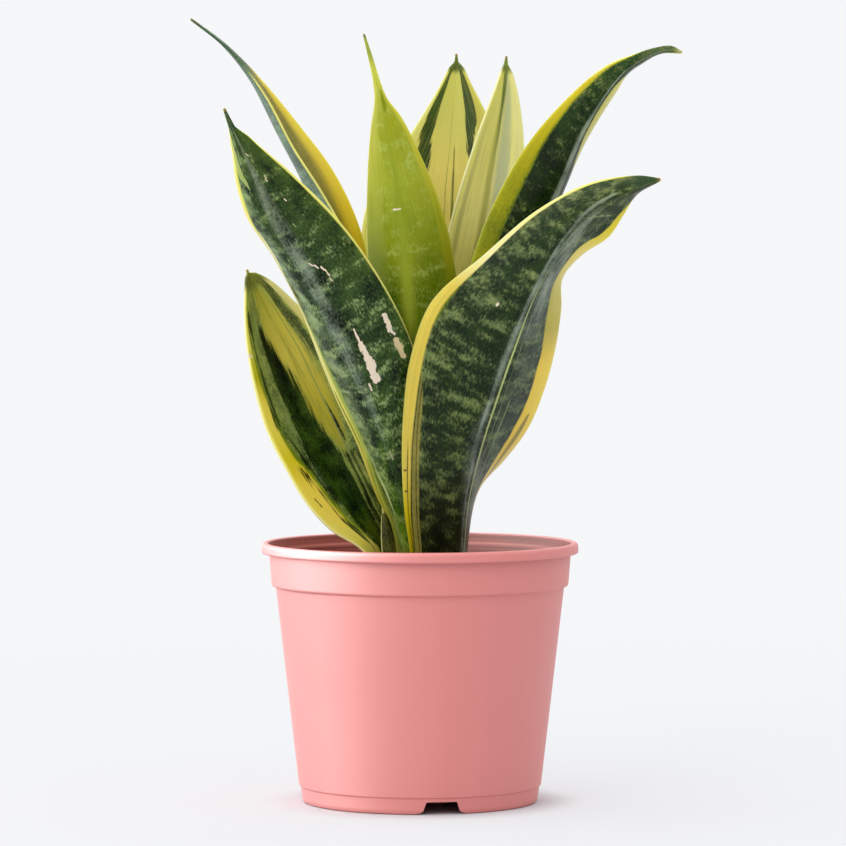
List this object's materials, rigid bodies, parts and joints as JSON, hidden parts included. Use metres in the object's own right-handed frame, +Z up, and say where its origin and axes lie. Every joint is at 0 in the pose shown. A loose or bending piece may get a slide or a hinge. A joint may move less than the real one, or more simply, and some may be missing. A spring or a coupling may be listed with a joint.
{
  "type": "potted snake plant",
  "caption": "Variegated snake plant with a rosette of stiff pointed leaves, standing in soil in a round pink plastic nursery pot with water gates in its foot.",
  "frame": {"origin": "centre of the pot's base, on the ground, on the pot's axis", "axes": "+Z up along the pot's axis, -Y towards the front of the plant, +X to its right as seen from the front"},
  "size_m": [0.1864, 0.12, 0.2974],
  "materials": {
    "pot_plastic": "satin moulded polypropylene, dusty pink",
    "soil": "loose potting mix of peat, bark and perlite",
    "rhizome": "pale underground stem",
    "leaf_banded": "waxy dark green with grey-green bands and yellow margins",
    "leaf_striped": "waxy dark green and yellow-green stripes with yellow margins",
    "leaf_lime": "waxy lime green, young leaf",
    "leaf_pale": "waxy cream and yellow-green with green stripes",
    "dry_sheath": "dry papery tan"
  },
  "bodies": {
    "root": {"pot": "pot_plastic", "soil": "soil", "rhizome": "rhizome", "leaf_front_right": "leaf_banded", "leaf_front_left": "leaf_banded", "leaf_left": "leaf_striped", "leaf_back_left": "leaf_striped", "leaf_centre": "leaf_lime", "leaf_back": "leaf_pale", "leaf_back_right": "leaf_pale", "leaf_right": "leaf_banded", "dry_sheath": "dry_sheath"}
  },
  "joints": []
}
